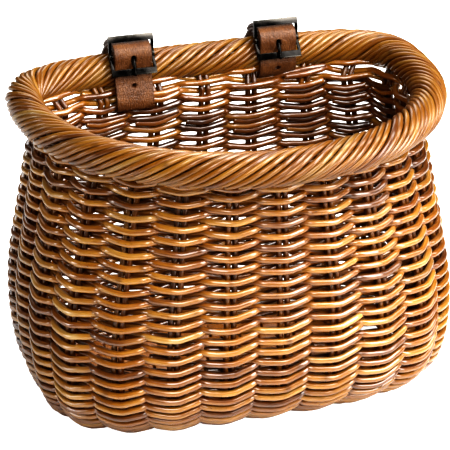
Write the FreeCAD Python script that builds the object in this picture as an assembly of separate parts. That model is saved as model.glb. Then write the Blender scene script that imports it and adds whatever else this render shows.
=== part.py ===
import FreeCAD, Part

import math
import os
from functools import lru_cache

# A wicker handlebar basket: a D-shaped body of rattan strands woven round pairs of upright
# stakes, a thick rolled rim, and two leather straps whose loops hang on the flat back of the
# rim and hold a handlebar. Millimetres. The origin is the middle of the base on the ground,
# +X is to the right seen from the bowed front, +Y is towards the handlebar, +Z is up.

Vec = FreeCAD.Vector
ALONG_X = Vec(1, 0, 0)
UP = Vec(0, 0, 1)

# ---- driving dimensions: the body ---------------------------------------------------------
RIM_HEIGHT = 237.5            # ground to the middle of the rolled rim
WALL_TOP = RIM_HEIGHT - 15    # where the woven wall meets the rim
STRAND_R = 2.1                # a weaving strand
STAKE_R = 2.0                 # an upright stake
SNUG = 0.05                   # gap between pieces that are pressed against each other
STRAND_GAP = 0.42             # gap between a strand and the stakes
STRAND_OFFSET = STAKE_R + STRAND_R + STRAND_GAP    # stake middle to strand middle
WALL_HALF = STRAND_OFFSET + STRAND_R           # stake middle to the outside of the weave

# The outside of the weave at five heights: half width, reach forward, reach back.
LEVELS = [0, 31, 93, 167, WALL_TOP]
HALF_WIDTHS = [153.8, 167.6, 171.7, 161.1, 152.4]
FRONT_REACHES = [86.5, 129.9, 144.0, 138.5, 134.0]
BACK_REACHES = [68.0, 79.2, 84.0, 74.0, 64.0]
# Roundness of the outline (2 is an ellipse, more is squarer), at the base and at the rim.
FRONT_ROUNDNESS = (3.3, 2.0)
BACK_ROUNDNESS = (5.2, 4.0)

# ---- driving dimensions: the rim ----------------------------------------------------------
RIM_HALF_WIDTH = 155.5
RIM_FRONT = 150.9
RIM_BACK = 72.6
RIM_R = 14.5                  # the rolled border, outside
RIM_CORE_R = 5.0              # the hoop inside it

# ---- driving dimensions: stakes and rows --------------------------------------------------
FRONT_STAKE_PAIRS = 12        # spaces between stake pairs round the front
BACK_STAKES = (0, 38.2, 82.6, 117, 152)  # pairs behind, measured round the rim from the middle
STAKE_PAIR_GAP = 5.4          # middle to middle inside a pair
STAKE_FOOT = 2.5              # the stakes' lower ends above the ground
STAKE_STEPS = 12              # places that set a stake's curve, closer together low down
STAKE_IN_RIM = 3.0            # how far a stake's upper end is pushed into the border

WALL_ROWS = 17
TOP_ROW = 214.5
ROW_PITCH = 9.2
FOOT_ROWS = 10                # tighter rows where the wall turns under
FOOT_ROW_START = 2.6
FOOT_PITCH = 4.45
FOOT_PITCH_GROWTH = 1.085

# ---- driving dimensions: the base ---------------------------------------------------------
SPLINT_W = 9.0                # flat splints across the base
SPLINT_T = 2.2
RAIL_R = 3.0                  # round rods along the base
RAIL_Z = SPLINT_T + SNUG + RAIL_R
RAIL_ROWS = (-60, -39, -18, 3, 24, 45)
HOOP_R = 3.0
HOOP_INSET = STRAND_R + SNUG + HOOP_R          # from the lowest inner strand to the base hoop
SPLINT_PITCH = 15.0
SPLINTS_EACH_WAY = 7

# ---- driving dimensions: straps and buckles ------------------------------------------------
# Side view of a strap: u is behind the middle of the rim's tube, w is above it.
STRAP_X = 60.0                # each strap from the middle of the basket
STRAP_W = 30.5
STRAP_T = 2.4
LAYER = STRAP_T + 0.25        # one thickness of leather and its gap to the next
BAR_R = 12.7                  # the handlebar that the straps hold
BAR_U = 24.0
BAR_W = -16.0
PIN_U = -12.4                 # the buckle's centre bar
PIN_W = 15.1
PIN_R = 1.6
FOLD_R = PIN_R + 0.08 + STRAP_T / 2
BEND_U = -9.9                 # middle of the bend where the leather turns over the rim
BEND_W = 15.8
FIXED_BEND_R = 5.5
TAIL_BEND_R = FIXED_BEND_R + LAYER

LOWER_BAR = (-20.9, 4.3)      # middles of the buckle's two end bars
UPPER_BAR = (-10.4, 28.9)
END_BAR_W = 5.2
FRAME_T = 2.2
FRAME_INNER_W = STRAP_W + 1.6
FRAME_SIDE_W = 2.2
FRAME_W = FRAME_INNER_W + 2 * FRAME_SIDE_W
EAR_R = 2.8

PRONG_R = 1.4
PRONG_EYE_R = 3.3
PRONG_EYE_W = 3.4
PRONG_SLOT_W = 4.6
TAIL_HOLE_W = 4.0
TAIL_HOLE = (10.75, 17.0)     # lowest and highest edge of the hole the prong stands in
SPARE_HOLE_R = 1.6
SPARE_HOLE_W = -0.9
RIVET_R = 1.7
RIVET_HEAD_R = 3.2
RIVET_HEAD_T = 0.7
RIVET_U = -1.0

# ---- curves --------------------------------------------------------------------------------


def smooth(levels, values, at):
    """A smooth curve through values given at levels, read at one place."""
    at = min(max(at, levels[0]), levels[-1])
    k = max(i for i in range(len(levels) - 1) if levels[i] <= at)
    slopes = []
    for i in range(len(levels)):
        low = max(i - 1, 0)
        high = min(i + 1, len(levels) - 1)
        slopes.append((values[high] - values[low]) / (levels[high] - levels[low]))
    slopes[0] = 2 * (values[1] - values[0]) / (levels[1] - levels[0]) - slopes[1]
    step = levels[k + 1] - levels[k]
    s = (at - levels[k]) / step
    return ((2 * s**3 - 3 * s**2 + 1) * values[k] + (s**3 - 2 * s**2 + s) * step * slopes[k]
            + (3 * s**2 - 2 * s**3) * values[k + 1] + (s**3 - s**2) * step * slopes[k + 1])


def rounded_outline(half_width, front, back, front_roundness, back_roundness, steps=360):
    """Front half and back half of a D outline, each from the +X side to the -X side."""
    halves = []
    for sign, reach, roundness in ((-1, front, front_roundness), (1, back, back_roundness)):
        points = []
        for i in range(steps + 1):
            turn = math.pi * i / steps
            c, s = math.cos(turn), math.sin(turn)
            radius = (abs(c / half_width)**roundness + abs(s / reach)**roundness)**(-1 / roundness)
            points.append((radius * c, sign * radius * s))
        halves.append(points)
    return halves


def with_lengths(points):
    """The points and the running length to each of them."""
    lengths = [0.0]
    for a, b in zip(points, points[1:]):
        lengths.append(lengths[-1] + math.dist(a, b))
    return points, lengths


@lru_cache(maxsize=None)
def wall_section(z):
    """Both halves of the stakes' outline at height z, with running lengths."""
    share = min(max(z / WALL_TOP, 0), 1)
    front_roundness = FRONT_ROUNDNESS[0] + (FRONT_ROUNDNESS[1] - FRONT_ROUNDNESS[0]) * share
    back_roundness = BACK_ROUNDNESS[0] + (BACK_ROUNDNESS[1] - BACK_ROUNDNESS[0]) * share
    halves = rounded_outline(smooth(LEVELS, HALF_WIDTHS, z) - WALL_HALF,
                             smooth(LEVELS, FRONT_REACHES, z) - WALL_HALF,
                             smooth(LEVELS, BACK_REACHES, z) - WALL_HALF,
                             front_roundness, back_roundness)
    return [with_lengths(points) for points in halves]


@lru_cache(maxsize=None)
def rim_section():
    """Both halves of the rim's middle line, with running lengths."""
    halves = rounded_outline(RIM_HALF_WIDTH, RIM_FRONT, RIM_BACK,
                             FRONT_ROUNDNESS[1], BACK_ROUNDNESS[1])
    return [with_lengths(points) for points in halves]


def along(section_half, share):
    """The point at a share of the length of one half outline."""
    points, lengths = section_half
    target = share * lengths[-1]
    k = 0
    while k < len(lengths) - 2 and lengths[k + 1] < target:
        k += 1
    s = (target - lengths[k]) / (lengths[k + 1] - lengths[k])
    return tuple(a + s * (b - a) for a, b in zip(points[k], points[k + 1]))



FRONT, BACK = 0, 1


def wall_point(half, share, z):
    """A stake's middle: its half, its share of that half's length, and its height."""
    return Vec(*along(wall_section(z)[half], share), z)


def beside_stakes(half, share, z, outward):
    """A point level with a stake's middle that is clear of the leaning stake by |outward|."""
    step = 0.004
    here = wall_point(half, share, z)
    along_ring = wall_point(half, min(share + step, 1), z) - wall_point(half, max(share - step, 0), z)
    level_out = along_ring.cross(UP).normalize()
    if level_out.dot(here) < 0:
        level_out = level_out * -1
    side = 1 if outward > 0 else -1
    reach = abs(outward)
    furthest = 0.0
    samples = 6
    for i in range(-samples, samples + 1):
        rise = reach * math.sin(i * math.pi / 2 / samples)
        bulge = side * (wall_point(half, share, z + rise) - here).dot(level_out)
        furthest = max(furthest, bulge + math.sqrt(reach**2 - rise**2))
    return here + level_out * side * furthest


RING_STEPS = 18               # points round each half of a ring


def round_the_wall(z, outward):
    """Points all the way round the wall at one height."""
    shares = [(i + 0.5) / RING_STEPS for i in range(RING_STEPS)]
    front = [beside_stakes(FRONT, share, z, outward) for share in shares]
    back = [beside_stakes(BACK, share, z, outward) for share in shares]
    return front + back[::-1]


def arc_from(start, heading, end):
    """The arc from start to end that sets out along heading."""
    chord = end - start
    angle = heading.getAngle(chord)
    if angle < 1e-6:
        return Part.makeLine(start, end)
    towards = heading.cross(chord).cross(heading).normalize()
    radius = chord.Length / 2 / math.sin(angle)
    middle = start + towards * radius
    halfway = (start - middle).normalize() + (end - middle).normalize()
    return Part.Arc(start, middle + halfway.normalize() * radius, end).toShape()


def two_arcs(start, heading, end, end_heading):
    """Two arcs that meet smoothly and lead from one place and heading to another."""
    chord = end - start
    both = heading + end_heading
    spread = 2 * (1 - heading.dot(end_heading))
    if spread < 1e-9:
        reach = chord.Length / 2
    else:
        across = chord.dot(both)
        reach = (math.sqrt(across**2 + spread * chord.dot(chord)) - across) / spread
    meeting = (start + heading * reach + end - end_heading * reach) * 0.5
    first = arc_from(start, heading, meeting)
    return [first, arc_from(meeting, first.tangentAt(first.LastParameter), end)]


def turning(before, here, after):
    """The heading of a smooth path at the middle one of three places."""
    back, ahead = here - before, after - here
    return (back * (ahead.Length / back.Length) + ahead * (back.Length / ahead.Length)).normalize()


def closed_path(points):
    count = len(points)
    headings = [turning(points[i - 1], points[i], points[(i + 1) % count]) for i in range(count)]
    edges = []
    for i in range(count):
        j = (i + 1) % count
        edges += two_arcs(points[i], headings[i], points[j], headings[j])
    return Part.Wire(edges)


def open_path(points):
    middle = [turning(*places) for places in zip(points, points[1:], points[2:])]
    first = (points[1] - points[0]) * 2 - middle[0] * (points[1] - points[0]).Length
    last = (points[-1] - points[-2]) * 2 - middle[-1] * (points[-1] - points[-2]).Length
    headings = [first.normalize()] + middle + [last.normalize()]
    edges = []
    for i in range(len(points) - 1):
        edges += two_arcs(points[i], headings[i], points[i + 1], headings[i + 1])
    return Part.Wire(edges)


def rod_along(wire, radius):
    """A round rod along a wire."""
    edge = wire.Edges[0]
    start = edge.valueAt(edge.FirstParameter)
    heading = edge.tangentAt(edge.FirstParameter)
    return wire.makePipe(Part.Face(Part.Wire(Part.makeCircle(radius, start, heading))))


# ---- the woven body ------------------------------------------------------------------------


def woven_row(z):
    """One row: a strand outside the stakes and a strand inside them."""
    outer = rod_along(closed_path(round_the_wall(z, STRAND_OFFSET)), STRAND_R)
    inner = rod_along(closed_path(round_the_wall(z, -STRAND_OFFSET)), STRAND_R)
    return Part.makeCompound([outer, inner])


def stake_places():
    """Half of the wall and share of its length for every stake pair."""
    places = [(FRONT, i / FRONT_STAKE_PAIRS) for i in range(FRONT_STAKE_PAIRS + 1)]
    half_back = wall_section(WALL_TOP)[BACK][1][-1] / 2
    for distance in BACK_STAKES:
        share = distance / half_back / 2
        places.append((BACK, 0.5 + share))
        if distance > 0:
            places.append((BACK, 0.5 - share))
    return places


def shifted_share(half, share, z, shift):
    """The share of a half outline after moving sideways by a real distance."""
    length = wall_section(z)[half][1][-1]
    return share + shift / length


def stake_point(half, share, z, shift):
    moved = shifted_share(half, share, z, shift)
    if moved < 0:
        return wall_point(1 - half, -moved, z)
    if moved > 1:
        return wall_point(1 - half, 2 - moved, z)
    return wall_point(half, moved, z)


def stake(half, share, shift):
    """An upright from the foot of the wall to inside the rolled border."""
    heights = [STAKE_FOOT + (TOP_ROW - STAKE_FOOT) * (i / STAKE_STEPS)**1.4
               for i in range(STAKE_STEPS)] + [TOP_ROW, TOP_ROW + STRAND_R]
    points = [stake_point(half, share, z, shift) for z in heights]
    rim_middle = Vec(*along(rim_section()[half], share), RIM_HEIGHT)
    sideways = points[-1] - wall_point(half, share, heights[-1])
    target = rim_middle + Vec(sideways.x, sideways.y, 0)
    last = points[-1]
    reach = (target - last).Length - RIM_R + STAKE_IN_RIM
    points.append(last + (target - last).normalize() * reach)
    return rod_along(open_path(points), STAKE_R)


def side_stakes():
    rods = []
    for half, share in stake_places():
        rods.append(stake(half, share, -STAKE_PAIR_GAP / 2))
        rods.append(stake(half, share, STAKE_PAIR_GAP / 2))
    return Part.makeCompound(rods)


def rim_path():
    halves = []
    for half in (FRONT, BACK):
        halves.append([Vec(*along(rim_section()[half], (i + 0.5) / RING_STEPS), RIM_HEIGHT)
                       for i in range(RING_STEPS)])
    return closed_path(halves[0] + halves[1][::-1])


def rim_core():
    return rod_along(rim_path(), RIM_CORE_R)


def rim_border():
    """The rolled border: a thick tube round the core hoop."""
    return rod_along(rim_path(), RIM_R).cut(rod_along(rim_path(), RIM_CORE_R + SNUG))


# ---- the base ------------------------------------------------------------------------------


@lru_cache(maxsize=None)
def base_hoop_path():
    loop = round_the_wall(FOOT_ROW_START, -STRAND_OFFSET)
    return closed_path([inset_point(loop, i, HOOP_INSET) for i in range(len(loop))])


def inset_point(loop, i, inset):
    """A point of a level loop moved inward, square to the loop, to the height of the rails."""
    ahead = loop[(i + 1) % len(loop)]
    behind = loop[i - 1]
    inward = (ahead - behind).cross(UP).normalize()
    if inward.dot(loop[i]) > 0:
        inward = inward * -1
    moved = loop[i] + inward * inset
    return Vec(moved.x, moved.y, RAIL_Z)


def base_hoop():
    return rod_along(base_hoop_path(), HOOP_R)


def hoop_span(axis, value):
    """Where the hoop's middle line crosses a line of constant x or y."""
    far = 400
    if axis == "y":
        ends = (Vec(-far, value, RAIL_Z), Vec(far, value, RAIL_Z))
    else:
        ends = (Vec(value, -far, RAIL_Z), Vec(value, far, RAIL_Z))
    line = Part.makeLine(*ends)
    crossings = [pair[1] for pair in base_hoop_path().distToShape(line)[1]]
    places = sorted((p.x if axis == "y" else p.y) for p in crossings)
    return places[0], places[-1]


def base_rails():
    """Rods along the base, their ends pushed into the hoop."""
    rods = []
    for y in RAIL_ROWS:
        low, high = hoop_span("y", y)
        rods.append(Part.makeCylinder(RAIL_R, high - low - HOOP_R, Vec(low + HOOP_R / 2, y, RAIL_Z),
                                      ALONG_X))
    return Part.makeCompound(rods)


def base_splints():
    """Flat splints across the rails, in turn under and over them."""
    splints = []
    for i in range(-SPLINTS_EACH_WAY, SPLINTS_EACH_WAY + 1):
        x = i * SPLINT_PITCH
        low, high = hoop_span("x", x)
        low += HOOP_R + 0.5
        high -= HOOP_R + 0.5
        z = 0 if i % 2 == 0 else RAIL_Z + RAIL_R + SNUG
        splints.append(Part.makeBox(SPLINT_W, high - low, SPLINT_T,
                                    Vec(x - SPLINT_W / 2, low, z)))
    return Part.makeCompound(splints)


# ---- side view of a strap ------------------------------------------------------------------


def side(u, w, x=0.0):
    """A place in a strap's side view, as a point of the basket."""
    return Vec(x, RIM_BACK + u, RIM_HEIGHT + w)


def side_direction(u, w):
    return Vec(0, u, w)


def on_circle(middle, radius, degrees):
    turn = math.radians(degrees)
    return middle[0] + radius * math.cos(turn), middle[1] + radius * math.sin(turn)


def clockwise(degrees):
    """The heading, at an angle round a circle, of someone going round it clockwise."""
    turn = math.radians(degrees)
    return math.sin(turn), -math.cos(turn)


# A stretch of a path is its kind and a list of (place, heading) pairs in the side view.


def line_stretch(start, heading, length):
    end = (start[0] + heading[0] * length, start[1] + heading[1] * length)
    return "line", [(start, heading), (end, heading)]


def arc_stretch(middle, radius, first, last):
    angles = (first, (first + last) / 2, last)
    return "arc", [(on_circle(middle, radius, a), clockwise(a)) for a in angles]


def unit(vector):
    length = math.hypot(*vector)
    return vector[0] / length, vector[1] / length


def spline_stretch(points, start, end, spacing=1.5):
    """A smooth curve through points that sets out along start and arrives along end."""
    headings = [unit(start)]
    for before, here, after in zip(points, points[1:], points[2:]):
        back, ahead = math.dist(before, here), math.dist(here, after)
        headings.append(unit([ahead / back * (h - b) + back / ahead * (a - h)
                              for b, h, a in zip(before, here, after)]))
    headings.append(unit(end))
    samples = []
    for k in range(len(points) - 1):
        length = math.dist(points[k], points[k + 1])
        count = max(2, round(length / spacing))
        last = k == len(points) - 2
        for j in range(count + 1 if last else count):
            samples.append(hermite(points[k], points[k + 1], headings[k], headings[k + 1],
                                   length, j / count))
    return "spline", samples


def hermite(a, b, heading_a, heading_b, length, s):
    """Place and heading at share s of a curve from a to b."""
    place = [(2 * s**3 - 3 * s**2 + 1) * p + (s**3 - 2 * s**2 + s) * length * f
             + (3 * s**2 - 2 * s**3) * q + (s**3 - s**2) * length * g
             for p, q, f, g in zip(a, b, heading_a, heading_b)]
    slope = [(6 * s**2 - 6 * s) * (p - q) + (3 * s**2 - 4 * s + 1) * length * f
             + (3 * s**2 - 2 * s) * length * g
             for p, q, f, g in zip(a, b, heading_a, heading_b)]
    return tuple(place), unit(slope)


def beside(sample, shift):
    """The point at shift to the left of a place on a path."""
    (u, w), (along_u, along_w) = sample
    return side(u - along_w * shift, w + along_u * shift)


def edge_beside(stretch, shift):
    """A stretch of path moved to its left by shift."""
    kind, samples = stretch
    places = [beside(sample, shift) for sample in samples]
    if kind == "line":
        return Part.makeLine(*places)
    if kind == "arc":
        return Part.Arc(*places).toShape()
    curve = Part.BSplineCurve()
    curve.interpolate(places)
    return curve.toShape()


def band(path, thickness, width, x):
    """A band of even thickness along a path in the side view, centred on x."""
    half = thickness / 2
    start, end = path[0][1][0], path[-1][1][-1]
    edges = [edge_beside(stretch, half) for stretch in path]
    edges += [edge_beside(stretch, -half) for stretch in path]
    edges.append(Part.makeLine(beside(start, -half), beside(start, half)))
    edges.append(Part.makeLine(beside(end, -half), beside(end, half)))
    face = Part.Face(Part.Wire(Part.__sortEdges__(edges)))
    face.translate(ALONG_X * (x - width / 2))
    return face.extrude(ALONG_X * width)


PIN = (PIN_U, PIN_W)
BAR = (BAR_U, BAR_W)
BEND = (BEND_U, BEND_W)
FOLD_START = -20.0            # degrees round the pin where the turned-back end leaves it
FOLD_END = -190.0
BAR_START = 45.0              # degrees round the handlebar that the loop touches
BAR_END = -90.0
LOOP_R = BAR_R + STRAP_T / 2
LOOP_LINE = 26.0              # the straight stretch from the rim down to the handlebar
UNDER_LOWER_BAR = (-16.7, 4.6)
RISING = (-0.03, 1.0)         # the leather's heading there

# From the handlebar to the buckle, through the wall: one strap passes between the first two
# rows of the weave, the other just under the rim.
LOW_ROUTE = [(8.0, -28.4), (-8.5, -27.6), (-16.8, -27.6), (-22.0, -25.8), (-23.2, -22.0),
             (-21.4, -13.5), (-18.0, -4.5)]
HIGH_ROUTE = [(10.0, -26.0), (0.0, -20.5), (-9.0, -17.4), (-15.2, -12.2), (-18.0, -4.5)]


def strap_path(route):
    """The middle of the leather, from its riveted end to its tail."""
    down = clockwise(BAR_START)
    bar_touch = on_circle(BAR, LOOP_R, BAR_START)
    line_start = (bar_touch[0] - down[0] * LOOP_LINE, bar_touch[1] - down[1] * LOOP_LINE)
    return [
        spline_stretch([(2.75, 17.77), (-3.0, 19.15), (-7.3, 17.9),
                        on_circle(PIN, FOLD_R, FOLD_START)], (-0.85, 0.5), clockwise(FOLD_START)),
        arc_stretch(PIN, FOLD_R, FOLD_START, FOLD_END),
        spline_stretch([on_circle(PIN, FOLD_R, FOLD_END), on_circle(BEND, FIXED_BEND_R, 135),
                        on_circle(BEND, FIXED_BEND_R, 90), (-3.0, 21.8), (4.0, 20.3),
                        (10.0, 17.0), line_start], clockwise(FOLD_END), down),
        line_stretch(line_start, down, LOOP_LINE),
        arc_stretch(BAR, LOOP_R, BAR_START, BAR_END),
        spline_stretch([on_circle(BAR, LOOP_R, BAR_END)] + route + [UNDER_LOWER_BAR],
                       clockwise(BAR_END), RISING),
        spline_stretch([UNDER_LOWER_BAR, (-17.6, 11.0), on_circle(BEND, TAIL_BEND_R, 180),
                        on_circle(BEND, TAIL_BEND_R, 135), on_circle(BEND, TAIL_BEND_R, 90),
                        (-3.0, 24.45), (5.0, 22.8), (11.6, 19.1), (15.8, 15.4)],
                       RISING, (0.72, -0.69)),
    ]


def slot_tool(x):
    """The hole in the tail that the prong stands in: a slot with round ends."""
    low, high = TAIL_HOLE
    radius = TAIL_HOLE_W / 2
    inner_u = PIN_U - FOLD_R - STRAP_T / 2
    depth = 6.0
    tool = Part.makeBox(TAIL_HOLE_W, depth, high - low - TAIL_HOLE_W,
                        side(inner_u - depth, low + radius, x - radius))
    for w in (low + radius, high - radius):
        tool = tool.fuse(Part.makeCylinder(radius, depth, side(inner_u - depth, w, x),
                                           side_direction(1, 0)))
    return tool


def rivet(x):
    """Joins the turned-back end to the strap; its head faces the rim."""
    top = 21.85 + STRAP_T / 2
    bottom = 19.05 - STRAP_T / 2
    shank = Part.makeCylinder(RIVET_R, top - bottom, side(RIVET_U, bottom, x))
    head = Part.makeCylinder(RIVET_HEAD_R, RIVET_HEAD_T, side(RIVET_U, bottom - RIVET_HEAD_T, x))
    return shank.fuse(head)


def strap(x, route):
    leather = band(strap_path(route), STRAP_T, STRAP_W, x)
    prong_slot = Part.makeCylinder(FOLD_R + STRAP_T / 2 + 0.1, PRONG_SLOT_W,
                                   side(PIN_U, PIN_W, x - PRONG_SLOT_W / 2), ALONG_X)
    spare = Part.makeCylinder(SPARE_HOLE_R, 8, side(-22, SPARE_HOLE_W, x), side_direction(1, 0))
    return leather.cut(prong_slot).cut(slot_tool(x)).cut(spare)


# ---- the buckles ---------------------------------------------------------------------------


CHORD = unit((UPPER_BAR[0] - LOWER_BAR[0], UPPER_BAR[1] - LOWER_BAR[1]))


def from_bar(bar, along_chord, out=0.0):
    """A place near an end bar: along the buckle's chord, and out from its face."""
    return (bar[0] + CHORD[0] * along_chord - CHORD[1] * out,
            bar[1] + CHORD[1] * along_chord + CHORD[0] * out)


def buckle_frame(x):
    """A flat frame round a window; seen from the side its middle dips to the centre bar."""
    half = END_BAR_W / 2
    path = spline_stretch([from_bar(LOWER_BAR, -half), from_bar(LOWER_BAR, half), PIN,
                           from_bar(UPPER_BAR, -half), from_bar(UPPER_BAR, half)], CHORD, CHORD)
    plate = band([path], FRAME_T, FRAME_W, x)
    reach = 12.0
    corners = [from_bar(LOWER_BAR, half, reach), from_bar(LOWER_BAR, half, -reach),
               from_bar(UPPER_BAR, -half, -reach), from_bar(UPPER_BAR, -half, reach)]
    places = [side(*corner, x - FRAME_INNER_W / 2) for corner in corners]
    window = Part.Face(Part.makePolygon(places + places[:1])).extrude(ALONG_X * FRAME_INNER_W)
    frame = plate.cut(window)
    for start in (x - FRAME_W / 2, x + FRAME_INNER_W / 2):
        ear = Part.makeCylinder(EAR_R, FRAME_SIDE_W, side(*PIN, start), ALONG_X)
        frame = frame.fuse(ear)
    return frame.removeSplitter()


def buckle_pin(x):
    """The centre bar; its ends are pressed into the frame's sides."""
    length = FRAME_W - 1.0
    return Part.makeCylinder(PIN_R, length, side(PIN_U, PIN_W, x - length / 2), ALONG_X)


def prong(x):
    """An eye round the centre bar and a bent finger that rests on the lower bar."""
    eye_middle = side(PIN_U, PIN_W, x - PRONG_EYE_W / 2)
    eye = Part.makeCylinder(PRONG_EYE_R, PRONG_EYE_W, eye_middle, ALONG_X)
    points = [(-14.6, 15.0), (-18.4, 13.4), (-21.7, 9.7), (-23.3, 5.3), (-24.1, 3.4)]
    finger = rod_along(open_path([side(u, w, x) for u, w in points]), PRONG_R)
    tip = Part.makeSphere(PRONG_R, side(*points[-1], x))
    bore = Part.makeCylinder(PIN_R + 0.07, PRONG_EYE_W + 2, side(PIN_U, PIN_W, x - PRONG_EYE_W / 2 - 1),
                             ALONG_X)
    return eye.fuse([finger, tip]).cut(bore)


# ---- write the pieces ----------------------------------------------------------------------


def foot_row_heights():
    heights = [FOOT_ROW_START]
    for i in range(FOOT_ROWS - 1):
        heights.append(heights[-1] + FOOT_PITCH * FOOT_PITCH_GROWTH**i)
    return heights


def all_pieces():
    pieces = {
        "base_hoop": base_hoop(),
        "base_rails": base_rails(),
        "base_splints": base_splints(),
        "side_stakes": side_stakes(),
        "rim_core": rim_core(),
        "rim_border": rim_border(),
    }
    for i, z in enumerate(foot_row_heights()):
        pieces["foot_row_%02d" % (i + 1)] = woven_row(z)
    for i in range(WALL_ROWS):
        pieces["weave_row_%02d" % (i + 1)] = woven_row(TOP_ROW - i * ROW_PITCH)
    for name, x, route in (("left", -STRAP_X, LOW_ROUTE), ("right", STRAP_X, HIGH_ROUTE)):
        pieces["strap_" + name] = strap(x, route)
        pieces["strap_rivet_" + name] = rivet(x)
        pieces["buckle_frame_" + name] = buckle_frame(x)
        pieces["buckle_pin_" + name] = buckle_pin(x)
        pieces["prong_" + name] = prong(x)
    return pieces


os.makedirs("parts", exist_ok=True)
for node, shape in all_pieces().items():
    shape.exportStep("parts/%s.step" % node)
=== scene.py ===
import math

import bmesh
import bpy
import numpy as np
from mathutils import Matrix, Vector

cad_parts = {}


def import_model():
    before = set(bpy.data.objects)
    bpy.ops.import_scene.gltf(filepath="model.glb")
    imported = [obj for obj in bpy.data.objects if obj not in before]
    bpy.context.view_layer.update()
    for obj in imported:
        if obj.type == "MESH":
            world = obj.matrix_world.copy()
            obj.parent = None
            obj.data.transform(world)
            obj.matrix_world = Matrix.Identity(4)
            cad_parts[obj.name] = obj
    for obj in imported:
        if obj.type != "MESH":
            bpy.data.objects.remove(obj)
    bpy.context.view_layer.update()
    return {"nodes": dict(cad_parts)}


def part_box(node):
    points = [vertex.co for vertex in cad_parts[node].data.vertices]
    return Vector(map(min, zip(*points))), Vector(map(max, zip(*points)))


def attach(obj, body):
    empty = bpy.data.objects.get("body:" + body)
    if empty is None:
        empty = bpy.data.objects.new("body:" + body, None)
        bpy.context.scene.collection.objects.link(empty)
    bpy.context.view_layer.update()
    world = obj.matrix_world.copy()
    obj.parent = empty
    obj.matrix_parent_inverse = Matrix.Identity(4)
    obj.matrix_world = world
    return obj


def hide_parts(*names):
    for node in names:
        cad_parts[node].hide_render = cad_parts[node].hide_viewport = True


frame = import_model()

# The looks of a wicker handlebar basket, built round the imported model. Metres.
# Each row of the wall is two strands woven in and out of pairs of stakes, the rim is a rope of
# rods wound round a bundle, and the straps are leather bands with rounded edges.

rng = np.random.default_rng(7)
BASKET = "basket_body"

# ---- driving dimensions --------------------------------------------------------------------
STRAND_R = 0.0021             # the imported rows' strands
STAKE_R = 0.0023              # a stake as seen
STRAND_OFFSET = 0.00452       # stake middle to strand middle
WOVEN_R = 0.00255             # a woven strand as seen
FOOT_WOVEN_R = 0.0022         # and in the close rows at the foot of the wall
STAKE_PAIR_GAP = 0.0054       # between the middles of a pair's two stakes
FRONT_SPACES = 12             # spaces between stake pairs round the front
BACK_STAKES = (0, 0.0382, 0.0826, 0.117, 0.152)   # pairs along the back, from its middle
FRONT_ROUNDNESS = (3.3, 2.0)  # outline roundness at the base and at the rim
BACK_ROUNDNESS = (5.2, 4.0)
BACK, FRONT = 1, -1

RIM_LOW, RIM_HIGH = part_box("rim_border")
CORE_LOW, CORE_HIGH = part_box("rim_core")
RIM_R = (RIM_HIGH.z - RIM_LOW.z) / 2
CORE_R = (CORE_HIGH.z - CORE_LOW.z) / 2
RIM_HEIGHT = (RIM_HIGH.z + RIM_LOW.z) / 2
WALL_TOP = RIM_HEIGHT - 0.015

# ---- the basket's shape --------------------------------------------------------------------


def half_outline(half_width, reach, roundness, side, steps=500):
    """Half of a D outline from the +X side to the -X side, with running lengths."""
    turn = np.linspace(0, math.pi, steps)
    c, s = np.cos(turn), np.sin(turn)
    radius = (np.abs(c / half_width)**roundness + np.abs(s / reach)**roundness)**(-1 / roundness)
    points = np.column_stack([radius * c, side * radius * s])
    return points, running(points)


def running(points):
    """The length along a line of points up to each of them."""
    return np.concatenate([[0], np.cumsum(np.linalg.norm(np.diff(points, axis=0), axis=1))])


def row_nodes():
    """The rows' nodes, the lowest first."""
    names = [n for n in frame["nodes"] if n.startswith(("weave_row", "foot_row"))]
    return sorted(names, key=row_height)


def row_height(node):
    low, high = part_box(node)
    return (low.z + high.z) / 2


def wall_levels():
    """Heights of the rows, and half width, front and back reach of the stakes' middles there."""
    boxes = [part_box(n) for n in ROW_NODES]
    heights = np.array([(low.z + high.z) / 2 for low, high in boxes])
    outside = np.array([[high.x, -low.y, high.y] for low, high in boxes])
    lean = np.arctan(np.gradient(outside, heights, axis=0))
    return heights, outside - STRAND_R - STRAND_OFFSET / np.cos(lean)


ROW_NODES = row_nodes()
LEVELS, REACHES = wall_levels()
STAKE_TOP = LEVELS[-1] + STRAND_R


def read_levels(z):
    """Half width, front reach and back reach at any height, carried on past the end rows."""
    k = int(np.clip(np.searchsorted(LEVELS, z) - 1, 0, len(LEVELS) - 2))
    s = (z - LEVELS[k]) / (LEVELS[k + 1] - LEVELS[k])
    return REACHES[k] + s * (REACHES[k + 1] - REACHES[k])


def wall_halves(z):
    """The back and front halves of the stakes' outline at one height."""
    half_width, front, back = read_levels(z)
    share = min(max(z / WALL_TOP, 0), 1)
    front_round = FRONT_ROUNDNESS[0] + (FRONT_ROUNDNESS[1] - FRONT_ROUNDNESS[0]) * share
    back_round = BACK_ROUNDNESS[0] + (BACK_ROUNDNESS[1] - BACK_ROUNDNESS[0]) * share
    return (half_outline(half_width, back, back_round, BACK),
            half_outline(half_width, front, front_round, FRONT))


def rim_halves():
    return (half_outline(RIM_HIGH.x - RIM_R, RIM_HIGH.y - RIM_R, BACK_ROUNDNESS[1], BACK),
            half_outline(RIM_HIGH.x - RIM_R, -RIM_LOW.y - RIM_R, FRONT_ROUNDNESS[1], FRONT))


def stake_shares():
    """Share of the half outline's length at each stake pair, back half and front half."""
    length = wall_halves(WALL_TOP)[0][1][-1]
    behind = sorted({0.5 + sign * d / length for d in BACK_STAKES for sign in (-1, 1)})
    ahead = [1 - i / FRONT_SPACES for i in range(FRONT_SPACES + 1)]
    return np.array([0] + behind + [1]), np.array(ahead)


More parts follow.
